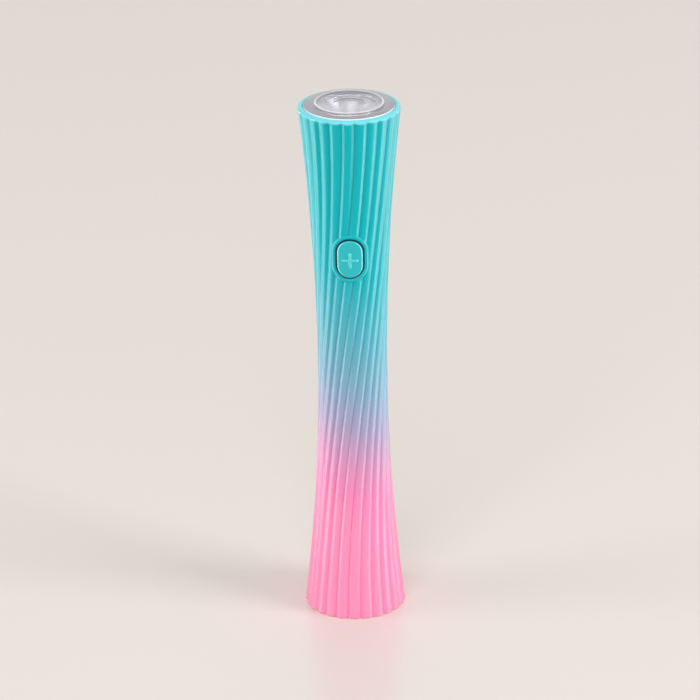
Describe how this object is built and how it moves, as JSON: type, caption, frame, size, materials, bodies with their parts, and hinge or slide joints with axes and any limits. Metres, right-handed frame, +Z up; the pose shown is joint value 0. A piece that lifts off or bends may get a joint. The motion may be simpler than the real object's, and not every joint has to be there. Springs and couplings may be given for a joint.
{
  "type": "handheld nail lamp",
  "caption": "Slim handheld nail curing lamp with a twisted, ribbed hourglass body, clear round lens on top, pill-shaped push button and charging socket in the base.",
  "frame": {"origin": "centre of the base, on the surface that the lamp stands on", "axes": "+Z up along the body's axis to the lens, -Y towards the button, +X to the right of someone who faces the button"},
  "size_m": [0.027, 0.027, 0.1426],
  "materials": {
    "gradient_shell": "satin, painted from turquoise at the top to pink at the base",
    "pink_plastic": "satin",
    "turquoise_plastic": "satin",
    "clear_plastic": "polished clear plastic",
    "white_seal": "smooth",
    "metallised_plastic": "vacuum metallised, mirror-like",
    "aluminium_board": "white solder mask on an aluminium core",
    "led_ceramic": "matte",
    "led_silicone": "clear silicone",
    "screw_steel": "nickel plated",
    "socket_steel": "stamped stainless steel",
    "nickel": "nickel strip",
    "white_plastic": "moulded",
    "black_plastic": "moulded",
    "circuit_board": "solder mask on glass fibre",
    "ferrite": "matte",
    "chip_ceramic": "matte",
    "wire_insulation": "soft insulation",
    "cell_wrap": "shrink wrap on the cell's can",
    "foam": "closed-cell foam",
    "gold_plate": "gold plated"
  },
  "bodies": {
    "body": {"body_shell": "gradient_shell", "end_cap": "pink_plastic", "lens": "clear_plastic", "lens_seal": "white_seal", "reflector": "metallised_plastic", "led_board": "aluminium_board", "led_package": "led_ceramic", "led_dome": "led_silicone", "led_board_screws": "screw_steel", "board_carrier": "white_plastic", "main_board": "circuit_board", "board_screws": "screw_steel", "driver_chip": "black_plastic", "inductor": "ferrite", "board_parts": "chip_ceramic", "switch_body": "black_plastic", "switch_cover": "socket_steel", "led_wires": "wire_insulation", "battery_cell": "cell_wrap", "battery_tabs": "nickel", "battery_pads": "foam", "battery_foam_rings": "foam", "battery_wires": "wire_insulation", "charge_board": "circuit_board", "charge_chip": "black_plastic", "charge_parts": "chip_ceramic", "charge_wires": "wire_insulation", "usb_shell": "socket_steel", "usb_insert": "black_plastic", "usb_contacts": "gold_plate"},
    "button": {"button_cap": "turquoise_plastic"},
    "plunger": {"switch_plunger": "black_plastic"}
  },
  "joints": [
    {"name": "button_press", "type": "slide", "parent": "body", "child": "button", "axis": [0, 1, 0], "range_m": [0, 0.0005], "stiffness_N_per_m": 1000},
    {"name": "plunger_press", "type": "slide", "parent": "body", "child": "plunger", "axis": [0, 1, 0], "range_m": [0, 0.0005]}
  ],
  "couplings": [
    {"joint": "plunger_press", "follows": "button_press", "ratio": 1}
  ]
}
